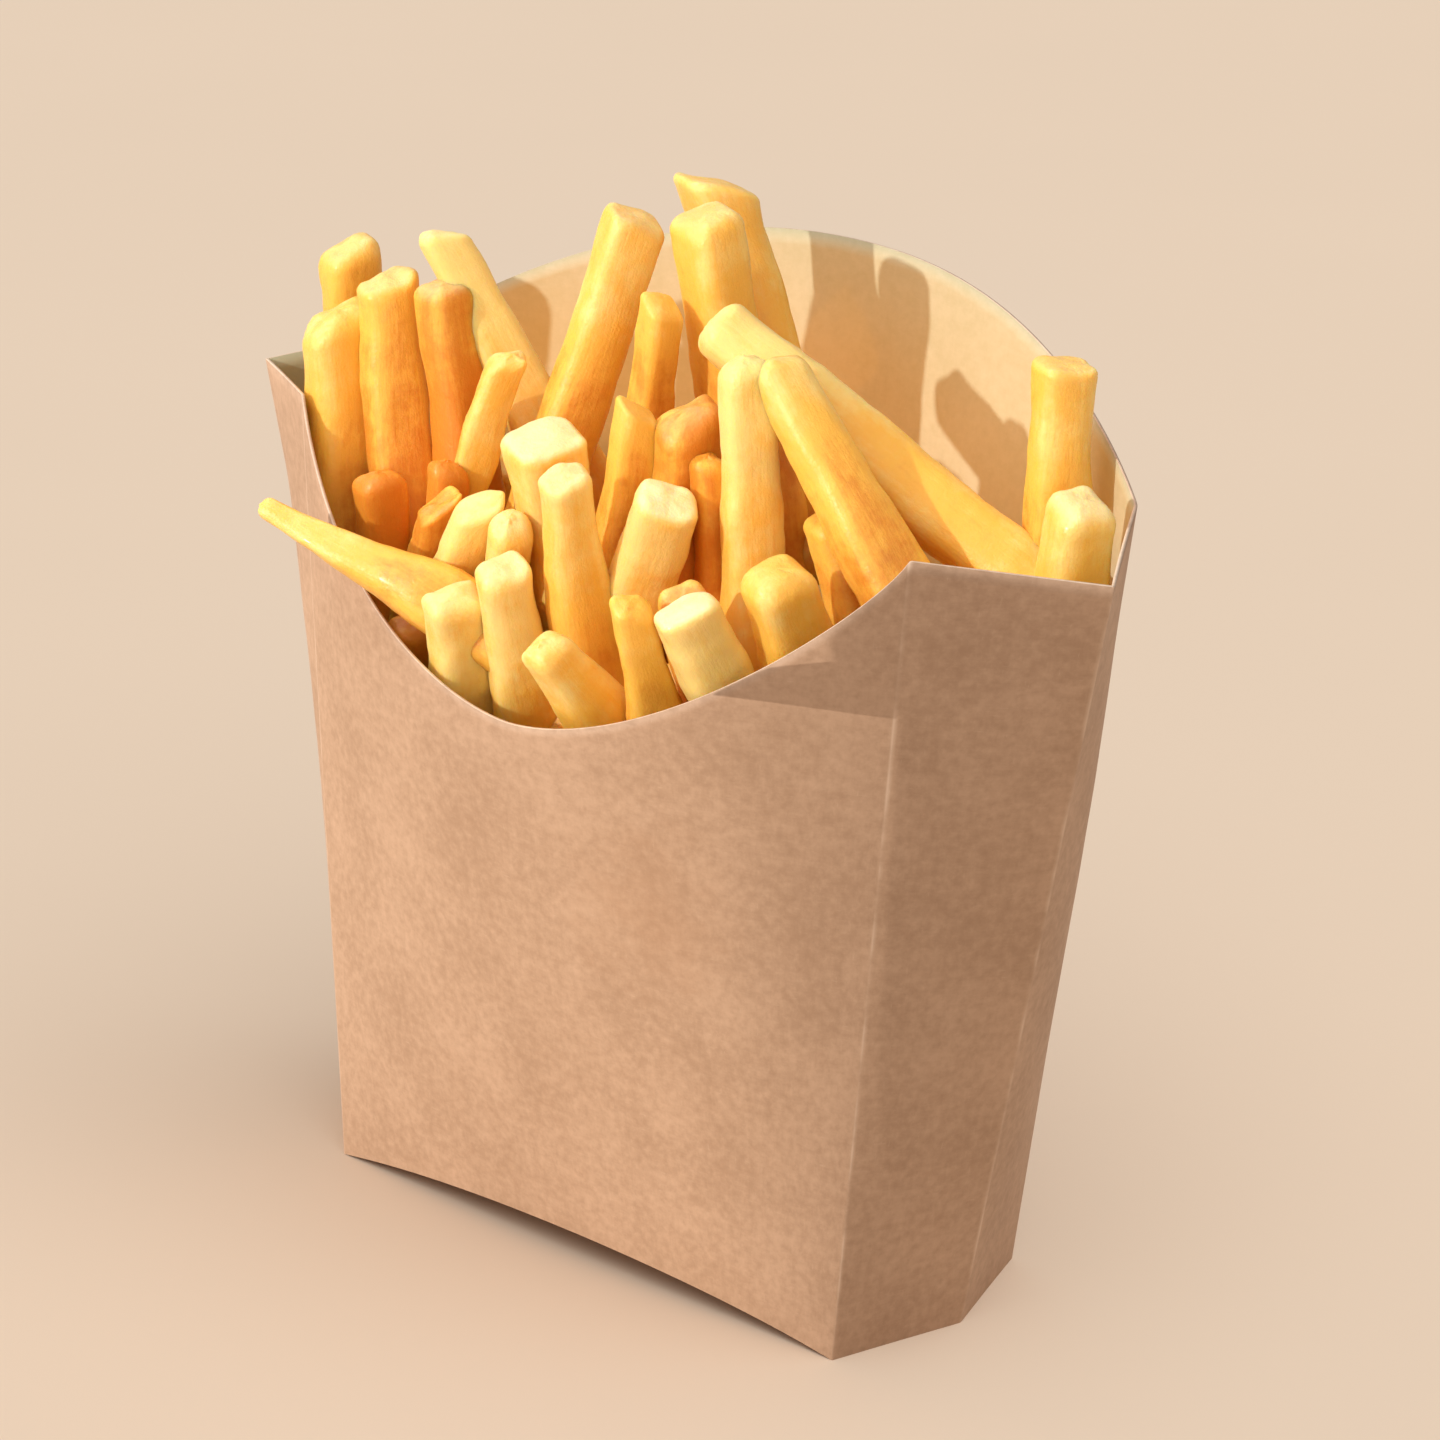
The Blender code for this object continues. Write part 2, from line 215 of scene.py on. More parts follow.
kraftLook = {
    "outside": ((0.44, 0.262, 0.157), (0.61, 0.388, 0.251), 0.15),      # dark and light tone, flecks
    "inside": ((0.485, 0.445, 0.27), (0.56, 0.515, 0.345), 0.1),
    "edge": ((0.66, 0.46, 0.33), (0.84, 0.66, 0.5), 0.5),
    "wornFold": (0.80, 0.58, 0.42),
    "oilMark": (0.46, 0.245, 0.13),
    "oilMarkAt": (0.0235, -0.036, 0.066),      # metres, low on the front panel
    "oilMarkSize": 0.016, "oilMarkRagged": 0.026, "oilMarkEdge": 0.12, "oilMarkDepth": 0.34,
    "rubbed": (0.15, 0.75),     # how pale the folds are, least and most: rubbed fibres and a painted highlight along the creases
    "rubbedSize": 0.09, "rubbedFrom": (0.42, 0.62),
    "roughness": 0.62,
    "outsideBump": 0.22, "insideBump": 0.18, "edgeBump": 0.35, "bumpReach": 0.0002,
}


def kraftMaterial(name, tones, bump):
    material, tree, shader = newMaterial(name)
    paper = addNode(tree, "ShaderNodeGroup", -400, 100, node_tree=kraftGroup)
    dark, light, flecks = tones
    fill(paper, Dark=(*dark, 1), Light=(*light, 1), Flecks=flecks)
    tree.links.new(readVector(tree, "sheet", -650, 100), paper.inputs["Sheet"])
    fill(shader, Roughness=kraftLook["roughness"])
    tree.links.new(paper.outputs["Color"], shader.inputs["Base Color"])
    addBump(tree, shader, paper.outputs["Height"], kraftLook[bump], kraftLook["bumpReach"])
    return material, tree, shader, paper


def outsideMaterial():
    material, tree, shader, paper = kraftMaterial("kraftOutside", kraftLook["outside"], "outsideBump")
    sheet = readVector(tree, "sheet", -900, -200)
    # the folds are pale here and there: partly rubbed fibres, partly a painted highlight along the creases
    patchy = noiseNode(tree, sheet, kraftLook["rubbedSize"], 3, -650, -200)
    patchy = spread(tree, patchy, *kraftLook["rubbedFrom"], *kraftLook["rubbed"], -450, -200)
    rubbed = mathNode(tree, "MULTIPLY", readValue(tree, "fold", -650, -400), patchy, -250, -200)
    colour = blendColour(tree, rubbed, paper.outputs["Color"], kraftLook["wornFold"], -50, 150)
    # a faint round mark of oil that has soaked through
    place = addNode(tree, "ShaderNodeNewGeometry", -900, -600).outputs["Position"]
    away = addNode(tree, "ShaderNodeVectorMath", -650, -600, operation="DISTANCE")
    away.inputs[1].default_value = kraftLook["oilMarkAt"]
    tree.links.new(place, away.inputs[0])
    ragged = noiseNode(tree, sheet, kraftLook["oilMarkEdge"], 5, -650, -800, 0.65)
    ragged = mathNode(tree, "MULTIPLY", ragged, kraftLook["oilMarkRagged"], -450, -800)
    reach = mathNode(tree, "ADD", away.outputs["Value"], ragged, -300, -650)
    size = kraftLook["oilMarkSize"]
    soaked = spread(tree, reach, size, size * 2, kraftLook["oilMarkDepth"], 0, -150, -600)
    colour = blendColour(tree, soaked, colour, kraftLook["oilMark"], 150, 150)
    tree.links.new(colour, shader.inputs["Base Color"])
    return material


print("kraft board materials")
kraftOutside = outsideMaterial()
kraftInside = kraftMaterial("kraftInside", kraftLook["inside"], "insideBump")[0]
kraftEdge = kraftMaterial("kraftCutEdge", kraftLook["edge"], "edgeBump")[0]


# The carton: one sheet, folded on three upright creases on each side

board = {
    "thickness": 0.5,
    "frontFoot": Vector((51.5, -22, 0)), "frontTop": Vector((60, -19, 126)),
    "gussetFoot": Vector((58.5, 0, 0)), "gussetTop": Vector((84, -4, 124)),
    "backFoot": Vector((51.5, 22, 0)), "backTop": Vector((71, 19, 127.5)),
    "bulge": 22, "bulgeGrowth": 0.85,
    "scoop": 34, "scoopCurve": (1.7, 0.8),      # the dip in the front edge, and how square it is
    "backRise": 22.5, "backCurve": (2.15, 0.9),
    "baseArch": 4,
    "gussetBow": 1.6,       # how far the side panels belly out, in the scene only
    "beside": (0.25, 0.6),  # mm from a crease to the extra columns next to it
    "panelStrips": 84, "gussetStrips": 14, "rows": 60,
    "foldRound": 0.45,      # how far a crease is drawn in, as a share of the corner
    "foldReach": 0.5,       # mm either side of a crease where the board is rubbed and painted with a highlight
    "foldFade": 3,
    "warps": ((38, 0.5), (11, 0.09)),       # size and height of the board's unevenness
    "calmBeside": 14,       # mm from a crease over which the sheet grows uneven
    "calmEdge": (-0.03, 0.09),      # the same from the foot or the mouth, as shares of the height
    "gussetWidth": 26, "sharpAngle": 50,
}


def scoopHeight(s):
    square, full = board["scoopCurve"]
    return board["frontTop"].z - board["scoop"] * (1 - abs(s) ** square) ** full


def backHeight(s):
    square, full = board["backCurve"]
    return board["backTop"].z + board["backRise"] * (1 - abs(s) ** square) ** full


def baseHeight(s):
    return board["baseArch"] * (1 - s * s)


def frontPoint(s, z):
    share = z / board["frontTop"].z
    crease = mix(board["frontFoot"], board["frontTop"], share)
    bow = board["bulge"] * max(share, 0) ** board["bulgeGrowth"] * (1 - s * s)
    return Vector((crease.x * s, crease.y - bow, z))


def backPoint(s, share):
    foot, top = board["backFoot"], board["backTop"]
    low = Vector((foot.x * s, foot.y, baseHeight(s)))
    high = Vector((top.x * s, top.y + board["bulge"] * (1 - s * s), backHeight(s)))
    return mix(low, high, share)


def closerAtEnds(count, width):
    # from -1 to 1, closer near the ends, with more steps right beside the creases
    steps = [i / count for i in range(count + 1)]
    even = [0.5 * (2 * t - 1) + 0.5 * math.sin(math.pi * (t - 0.5)) for t in steps]
    near = [1 - 2 * gap / width for gap in board["beside"]]
    return [-1, *(-t for t in near), *even[1:-1], *reversed(near), 1]


def sidePoint(crease, fold, q):
    # a point of a side panel, which bellies out a little between its creases, its foot and its mouth
    out = (fold - crease).cross(Vector((0, 0, 1))).normalized()
    bow = board["gussetBow"] * math.sin(math.pi * fold.z / board["gussetTop"].z)
    return mix(crease, fold, q) + out * bow * 4 * q * (1 - q)


def boardGrid():
    # columns round the carton, each from the foot to the mouth
    shares = [row / board["rows"] for row in range(board["rows"] + 1)]
    steps = closerAtEnds(board["panelStrips"], 2 * board["frontTop"].x)
    front = [[frontPoint(s, mix(baseHeight(s), scoopHeight(s), f)) for f in shares] for s in steps]
    back = [[backPoint(-s, f) for f in shares] for s in steps]
    gusset = [mix(board["gussetFoot"], board["gussetTop"], f) for f in shares]
    part = [(s + 1) / 2 for s in closerAtEnds(board["gussetStrips"], board["gussetWidth"])][1:-1]
    mirrored = [Vector((-p.x, p.y, p.z)) for p in gusset]
    columns, creases = [], []
    for side, fold, after in ((front, gusset, back), (back, mirrored, front)):
        creases.append(len(columns))
        columns += side
        creases.append(len(columns) - 1)
        columns += [[sidePoint(a, b, q) for a, b in zip(side[-1], fold)] for q in part]
        creases.append(len(columns))
        columns.append(fold)
        columns += [[sidePoint(a, b, q) for a, b in zip(fold, after[0])] for q in part]
    return columns, creases


def warped(point, out, calm):
    # the sheet is never quite even, but its creases stay straight
    rise = sum(height * noise.noise(point / size) for size, height in board["warps"])
    return point + out * rise * calm


def makeCarton():
    columns, creases = boardGrid()
    count, rows = len(columns), board["rows"]
    middle = rows // 2
    around = [0]
    for i in range(1, count + 1):
        around.append(around[-1] + (columns[i % count][middle] - columns[i - 1][middle]).length)
    girth = around[-1]
    points, fold, sheet = [], [], []
    for i, column in enumerate(columns):
        before, after = columns[i - 1], columns[(i + 1) % count]
        gaps = [abs(around[i] - around[c]) for c in creases]
        nearest = min(min(gap, girth - gap) for gap in gaps)
        for row, point in enumerate(column):
            out = (after[row] - before[row]).cross(Vector((0, 0, 1))).normalized()
            edge = min(row, rows - row) / rows
            calm = smooth(0, board["calmBeside"], nearest) * smooth(*board["calmEdge"], edge)
            moved = warped(point, out, calm)
            if i in creases:
                moved = mix(point, (before[row] + after[row]) / 2, board["foldRound"])
            points.append(moved)
            fold.append(math.exp(-((nearest / board["foldReach"]) ** 2) * board["foldFade"]))
            sheet.append((around[i], point.z, 0))
    faces = []
    for i in range(count):
        beside = (i + 1) % count
        for row in range(rows):
            a, b = i * (rows + 1) + row, beside * (rows + 1) + row
            faces.append((a, b, b + 1, a + 1))
    # the bottom joins the foot of the front to the foot of the back
    strips = creases[1]
    foot = rows + 1
    backFirst = creases[3]
    for i in range(strips):
        low, high = backFirst + strips - i, backFirst + strips - i - 1
        faces.append((i * foot, low * foot, high * foot, (i + 1) * foot))
    for first, last in ((strips, backFirst), (backFirst + strips, count)):
        ends = [(i % count) * foot for i in range(first, last + 1)]
        faces.append(tuple(reversed(ends)))
    carton = makePiece("foldedCarton", points, faces, (kraftOutside, kraftInside, kraftEdge),
                       {"fold": fold}, {"sheet": sheet})
    thick = carton.modifiers.new("board", "SOLIDIFY")
    thick.thickness = board["thickness"] * mm
    thick.offset = -1
    thick.use_even_offset = True
    thick.material_offset = 1
    thick.material_offset_rim = 2
    carton.data.set_sharp_from_angle(angle=math.radians(board["sharpAngle"]))
    return carton


print("folded carton")
carton = makeCarton()
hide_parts("carton")
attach(carton, "root")


# Fried potato: one skin for the fries in sight, the ones behind and the heap under them

skinDetail = {
    # size, as 1 over mm, and how much of the tone each layer moves
    "blotches": (0.11, 0.8), "patches": (0.42, 0.42), "streaks": (1.0, 0.4), "skin": (2.4, 0.12),
    "drawnOut": (1.1, 1.1, 0.16),       # the streaks run along a fry
    "cornerTone": -0.16,                # corners are painted paler, a painted highlight where they catch the light
    "cutFrom": (0.3, 0.6), "cutShare": (0.95, 0.8),     # how much of a cut end is bare flesh
    "roughFrom": (0.35, 0.65), "roughness": (0.37, 0.56),
    "oilFrom": (0.54, 0.66), "oil": (0.02, 0.35),
    "skinHeight": 0.6,
}


def makePotatoGroup():
    tree, given, result = newGroup(
        "friedSkin",
        [("Own", "NodeSocketVector", None), ("Tone", "NodeSocketFloat", 0.4),
         ("Cut", "NodeSocketFloat", 0), ("Corner", "NodeSocketFloat", 0),
         ("Pale", "NodeSocketColor", (0.91, 0.67, 0.235, 1)),
         ("Golden", "NodeSocketColor", (0.9, 0.505, 0.078, 1)),
         ("Toasted", "NodeSocketColor", (0.7, 0.25, 0.023, 1)),
         ("Flesh", "NodeSocketColor", (0.89, 0.79, 0.46, 1))],
        [("Color", "NodeSocketColor"), ("Roughness", "NodeSocketFloat"), ("Oil", "NodeSocketFloat"),
         ("Height", "NodeSocketFloat")])
    own = given.outputs["Own"]
    sizes = {key: skinDetail[key][0] for key in ("blotches", "patches", "streaks", "skin")}
    blotches = noiseNode(tree, own, sizes["blotches"], 3, -900, 400)
    patches = noiseNode(tree, own, sizes["patches"], 4, -900, 200, 0.6)
    streaks = noiseNode(tree, own, sizes["streaks"], 3, -900, 0, 0.6, stretch=skinDetail["drawnOut"])
    skin = noiseNode(tree, own, sizes["skin"], 3, -900, -200, 0.6)

    def share(layer, key, y):
        # the layer about 0, times its share of the tone
        centred = mathNode(tree, "SUBTRACT", layer, 0.5, -700, y)
        return mathNode(tree, "MULTIPLY", centred, skinDetail[key][1], -550, y)

    tone = mathNode(tree, "ADD", given.outputs["Tone"], share(blotches, "blotches", 400), -400, 400)
    tone = mathNode(tree, "ADD", tone, share(patches, "patches", 200), -250, 350)
    tone = mathNode(tree, "ADD", tone, share(streaks, "streaks", 0), -100, 300)
    # the corners are painted paler: a painted highlight along the ridges
    paintedCornerHighlight = mathNode(tree, "MULTIPLY", given.outputs["Corner"], skinDetail["cornerTone"], -250, 150)
    tone = mathNode(tree, "ADD", tone, paintedCornerHighlight, 50, 250)
    tone = mathNode(tree, "ADD", tone, share(skin, "skin", -350), 120, 200)
    lower = spread(tree, tone, 0, 0.5, 0, 1, 200, 350)
    upper = spread(tree, tone, 0.5, 1, 0, 1, 200, 100)
    colour = blendColour(tree, lower, given.outputs["Pale"], given.outputs["Golden"], 400, 350)
    colour = blendColour(tree, upper, colour, given.outputs["Toasted"], 550, 300)
    bare = spread(tree, patches, *skinDetail["cutFrom"], *skinDetail["cutShare"], 200, -100)
    flesh = mathNode(tree, "MULTIPLY", given.outputs["Cut"], bare, 400, -50)
    colour = blendColour(tree, flesh, colour, given.outputs["Flesh"], 700, 250)
    tree.links.new(colour, result.inputs["Color"])
    roughness = spread(tree, skin, *skinDetail["roughFrom"], *skinDetail["roughness"], 400, -250)
    tree.links.new(roughness, result.inputs["Roughness"])
    oil = spread(tree, patches, *skinDetail["oilFrom"], *skinDetail["oil"], 400, -450)
    tree.links.new(oil, result.inputs["Oil"])
    bumps = mathNode(tree, "MULTIPLY", skin, skinDetail["skinHeight"], -550, -200)
    bumps = mathNode(tree, "ADD", bumps, patches, -350, -200)
    bumps = mathNode(tree, "ADD", bumps, streaks, -150, -200)
    tree.links.new(bumps, result.inputs["Height"])
    return tree


potatoGroup = makePotatoGroup()

potatoLook = {
    "golden": {},
    # darker, more orange copies of the fry colours: painted shade for the fries deep in the heap and the
    # core under them
    "deeper": {
        "Pale": (0.95, 0.58, 0.12, 1), "Golden": (0.9, 0.4, 0.05, 1), "Toasted": (0.8, 0.26, 0.025, 1)},
    "underneath": {
        "Pale": (0.9, 0.42, 0.07, 1), "Golden": (0.85, 0.34, 0.04, 1), "Toasted": (0.72, 0.22, 0.02, 1)},
}

potatoDepth = {
    "bump": 0.34, "bumpReach": 0.0004, "oilRoughness": 0.22,
    "scatter": 0.5, "scatterScale": 0.0025, "scatterReach": (1.0, 0.5, 0.14),
}


def potatoMaterial(name, colours):
    material, tree, shader = newMaterial(name)
    skin = addNode(tree, "ShaderNodeGroup", -100, 100, node_tree=potatoGroup)
    fill(skin, **colours)
    tree.links.new(readVector(tree, "own", -400, 300), skin.inputs["Own"])
    tree.links.new(readValue(tree, "tone", -400, 100), skin.inputs["Tone"])
    tree.links.new(readValue(tree, "cut", -400, -100), skin.inputs["Cut"])
    tree.links.new(readValue(tree, "corner", -400, -300), skin.inputs["Corner"])
    tree.links.new(skin.outputs["Color"], shader.inputs["Base Color"])
    tree.links.new(skin.outputs["Roughness"], shader.inputs["Roughness"])
    tree.links.new(skin.outputs["Oil"], shader.inputs["Coat Weight"])
    fill(shader, CoatRoughness=potatoDepth["oilRoughness"], SubsurfaceWeight=potatoDepth["scatter"])
    fill(shader, SubsurfaceScale=potatoDepth["scatterScale"], SubsurfaceRadius=potatoDepth["scatterReach"])
    addBump(tree, shader, skin.outputs["Height"], potatoDepth["bump"], potatoDepth["bumpReach"])
    return material


print("fried potato materials")
goldenFry = potatoMaterial("goldenFry", potatoLook["golden"])
# the darker copies paint the shade deep among the fries
shadedHeapFry = potatoMaterial("shadedHeapFry", potatoLook["deeper"])
shadedCoreFry = potatoMaterial("shadedCoreFry", potatoLook["underneath"])


# Each fry in sight: tip and foot in mm, width and depth of its cut, twist in degrees, sideways bow, the
# slope of its cut tip, down to the right and down to the front as the photo sees it, then how round its
# end is in mm, how far it narrows towards the tip, how deeply it is fried, how pale its cut end is and
# how ragged. The frying depth is also raised on the fries that stand in shade, as painted shade.

Fry = namedtuple(
    "Fry", "tip foot width depth twist bow slant rounding narrow tone pale ragged", defaults=(0.5,))
fryRows = {
    "leftStand": (
        Fry((-67, -2, 145.5), (-65, -1, 84), 8.4, 8.0, 70, 0, (-0.3, 0.2), 2.6, 1.0, 0.55, 0.35, 0.8),
        Fry((-59, -12, 138), (-53, -13, 64), 10.4, 9.0, 70, 0.6, (-0.4, 0.3), 3.2, 0.95, 0.45, 0.1, 1.0),
        Fry((-52, -9, 144), (-39, -12, 66), 9.2, 8.0, 65, -1, (-0.2, 0.2), 1.6, 0.95, 0.58, 0.4, 1.4),
        Fry((-40.6, -6.5, 145), (-31, -6, 72), 8.8, 8.4, 80, 0.8, (0.1, 0.2), 2.4, 0.84, 0.9, 0.4),
        Fry((-43, -5, 152), (-10, 9, 91), 9.2, 6.6, 60, 1, (0.6, 0.2), 1.6, 0.75, 0.0, 0.4),
        Fry((-26, -7.5, 136.5), (-44, -17, 80), 6.2, 5.6, 50, 0.5, (-0.4, 0.1), 1.6, 0.85, 0.3, 0.1),
        Fry((-44, -19, 117), (-47, -12, 82), 8.6, 7.8, 70, 0, (-0.1, -0.3), 3.6, 0.85, 1.1, 0.0, 0.3),
        Fry((-33, -15, 120), (-38, -12, 81), 6.5, 6.5, 60, 0, (0.2, -0.3), 2.6, 0.9, 1.15, 0.0, 0.4),
    ),
    "centre": (
        Fry((-12.5, 6, 157.6), (-31, -16, 73), 9.0, 8.0, 60, 0, (0.1, 0.15), 1.5, 0.95, 0.28, 0.3),
        Fry((-10, 20, 161), (16, 24, 82), 10.2, 11.6, 65, 0, (0.55, 0), 1.5, 0.95, 0.35, 0.1),
        Fry((-1, 7, 160), (11, 17, 83), 9.6, 11, 75, 0, (-0.1, 0.15), 2.4, 0.9, 0.42, 0.3),
        Fry((-2, -1, 148), (-11, 1, 87), 7.2, 7.0, 75, 0, (0.4, 0.2), 1.4, 0.75, 0.6, 0.1),
        Fry((9, -8, 135), (5, -1, 88), 10.0, 8.6, 70, 0, (-0.3, 0.1), 3.2, 1.0, 0.85, 0.1),
        Fry((3, -12, 135), (-4, -11, 82), 7.6, 7.0, 65, 0, (0.6, 0.1), 1.3, 0.8, 0.6, 0.1),
        Fry((-9, -18, 129.4), (-12, -7, 78), 10.2, 9.4, 70, 0, (0, 0.12), 1.3, 1.0, 0.28, 0.9),
        Fry((1, -26, 127.8), (1, -12, 71), 10.4, 9.2, 70, 0.5, (0.1, 0.12), 1.6, 0.72, 0.25, 0.55, 1.0),
        Fry((14, -17, 124.6), (-7, -11, 81), 9.8, 8.8, 45, 0, (0.05, 0.12), 1.4, 0.92, 0.15, 1.0, 0.9),
        Fry((14, -9, 129), (12, -3, 85), 6.4, 6.4, 60, 0, (0.2, 0), 1.8, 0.8, 0.85, 0.0),
    ),
    "rightFan": (
        Fry((9, -1.5, 147.5), (62, 13, 112), 9.2, 8.5, 55, 1, (0.1, 0.1), 3.2, 0.95, 0.08, 0.1),
        Fry((23.6, -5, 145), (64, -6, 98), 9.8, 8.5, 70, 1, (0.2, 0.2), 2.8, 0.82, 0.4, 0.1),
        Fry((20.6, -8, 145), (24, -6, 75), 8.6, 8.0, 60, 0, (-0.1, 0.1), 3.0, 0.86, 0.08, 0.1),
        Fry((32, -3, 123), (44, 2, 86), 7.5, 7.0, 65, 0, (0, 0.2), 2.0, 1.0, 0.65, 0.0),
        Fry((58, 18, 146), (59, 16, 104), 8.5, 8.0, 55, 0, (0.05, 0.1), 1.0, 1.0, 0.45, 0.2),
        Fry((69, 8, 130.2), (66, 9, 96), 8.6, 8.2, 70, 0, (0.1, 0.3), 2.4, 1.0, 0.35, 0.7),
        Fry((75, 0, 109), (34, 8, 97), 8.5, 8.0, 20, 0, (0.1, 0.2), 2.0, 1.0, 0.45, 0.2),
        Fry((54, 20, 111), (20, 15, 97), 8.5, 8.0, 15, 0, (0, 0.2), 2.0, 1.0, 0.5, 0.2),
    ),
    "frontRow": (
        Fry((36, -19, 119.4), (36, -9, 89), 9.8, 9.0, 75, 0, (0.1, 0), 3.0, 1.0, 0.5, 0.1),
        Fry((26.5, -29, 113.6), (29, -13, 83), 9.2, 8.5, 65, 0, (0, -0.2), 1.3, 1.0, 0.05, 1.0),
        Fry((19, -31, 114), (16, -19, 82), 7.5, 7.0, 60, 0, (0.4, 0.2), 1.6, 0.7, 0.55, 0.0),
        Fry((22, -23, 112.5), (16, -10, 91), 7.5, 7.0, 70, 0, (0, 0.3), 2.0, 0.9, 0.8, 0.2),
        Fry((7, -37, 106), (11, -16, 80), 10.2, 8.6, 75, 0, (0.2, 0), 2.8, 0.68, 0.3, 0.1),
        Fry((-6, -31, 113), (-10, -18, 73), 9.4, 8.4, 60, 0, (0.1, 0.1), 1.6, 0.82, 0.12, 0.6, 0.9),
        Fry((-14, -33, 107.5), (-21, -22, 73), 10.0, 8.6, 65, 0, (0, 0), 2.0, 0.86, 0.12, 0.3),
        Fry((-11, -25, 118), (-21, -15, 80), 6.0, 6.0, 60, 0, (0, 0.3), 2.2, 1.0, 0.3, 0.6),
        Fry((-18.5, -23, 118.5), (-41, -18, 78), 8.8, 8.0, 55, 0, (-0.7, 0.2), 1.4, 0.72, 0.14, 0.2),
        Fry((-29, -20.5, 115.5), (-42, -13, 83), 6.8, 6.5, 60, 0, (-0.9, 0), 1.0, 0.85, 0.8, 0.0, 1.6),
        Fry((-29, -27, 99), (-34, -17, 71), 7.5, 7.0, 65, 0, (0, -0.2), 2.0, 1.0, 0.9, 0.1),
    ),
}
overTheRim = Fry((-50, -37, 115), (-9, -25, 98.5), 9.2, 7.8, 40, -0.5, (0.3, 0.2), 1.8, 0.36, 0.38, 0.1, 0.2)
inSight = [fry for row in fryRows.values() for fry in row]

fryShape = {
    "along": 42, "around": 32,      # rings along a fry and points round it
    "plump": 1.1,                   # how much frying has swelled the cut
    "wider": ((5, 44), 0.1),        # mm below the tip between which a fry widens, and by how much
    "square": (0.6, 0.86),          # 1 is an oval cut, lower is squarer
    "squareOver": 13,               # mm over which its corners sharpen and soften
    "hollow": 0.04,                 # how far the flat sides sink between the corners
    "narrowFrom": 0.2,
    "slantFrom": 0.7,
    "endRings": 7,
    "endUneven": 0.45,              # how much the rounding of its end varies
    "endVaries": 1.7,               # how much more it varies from corner to corner
    "mostRound": 0.42,              # the most that an end is rounded, as a share of its thinner side
    "capRings": (0.87, 0.7, 0.5, 0.28),
    "capPuff": 0.3,
    "sway": (21, 1.1),              # size and reach in mm of the bends along a fry
    "swell": (14, 0.09),            # size in mm and share by which it thickens and thins
    "turn": (27, 10),               # size in mm and degrees by which it twists
    "lumps": ((9, 0.4), (3.6, 0.2), (1.4, 0.07)),      # size and height in mm
    "endLumps": ((4.2, 0.9), (2, 0.35)),
    "endReach": 7,                  # mm below its tip that the bitten end reaches
    "deeperBelow": (3, 38),         # mm below its tip where a fry turns more golden, partly from deeper frying and partly as painted shade lower in the carton
    "deeperBy": 0.42,
    "apart": 37.0,                  # mm between two fries' places in the skin's pattern
}
readAt = {
    # where a fry reads the noise for each of its uneven ways, each times its own seed
    "wander": (5.3, 0.7), "square": (2.1, 3.3), "end": 3.1, "bite": 9.0,
    "endStep": 1.2, "lumpStep": 4,
}


def unevenness(point, lumps):
    return sum(height * noise.noise(point / size) for size, height in lumps)


def wander(seed, z, key):
    # a slow drift along a fry, its own for each seed
    size, most = fryShape[key]
    own, level = readAt["wander"]
    return most * noise.noise(Vector((seed * own, level, z / size)))


viewTurn = math.radians(40.8)       # how far round the photo's viewpoint is from the front
photoRight = Vector((math.cos(viewTurn), math.sin(viewTurn), 0))
photoFront = Vector((math.sin(viewTurn), -math.cos(viewTurn), 0))


def fryAxes(fry):
    along = (Vector(fry.tip) - Vector(fry.foot)).normalized()
    across = Vector((0, 1, 0)).cross(along).normalized()
    across = Matrix.Rotation(math.radians(fry.twist), 3, along) @ across
    return Matrix((across, along.cross(across), along)).transposed()


def fryStations(length, rounding):
    # distances from the foot: even steps, then closer ones round the soft end
    straight = fryShape["along"]
    last = length - rounding
    steps = [last * i / straight for i in range(straight + 1)]
    count = fryShape["endRings"]
    arc = [last + rounding * math.sin(math.pi / 2 * i / count) for i in range(1, count + 1)]
    return steps + arc


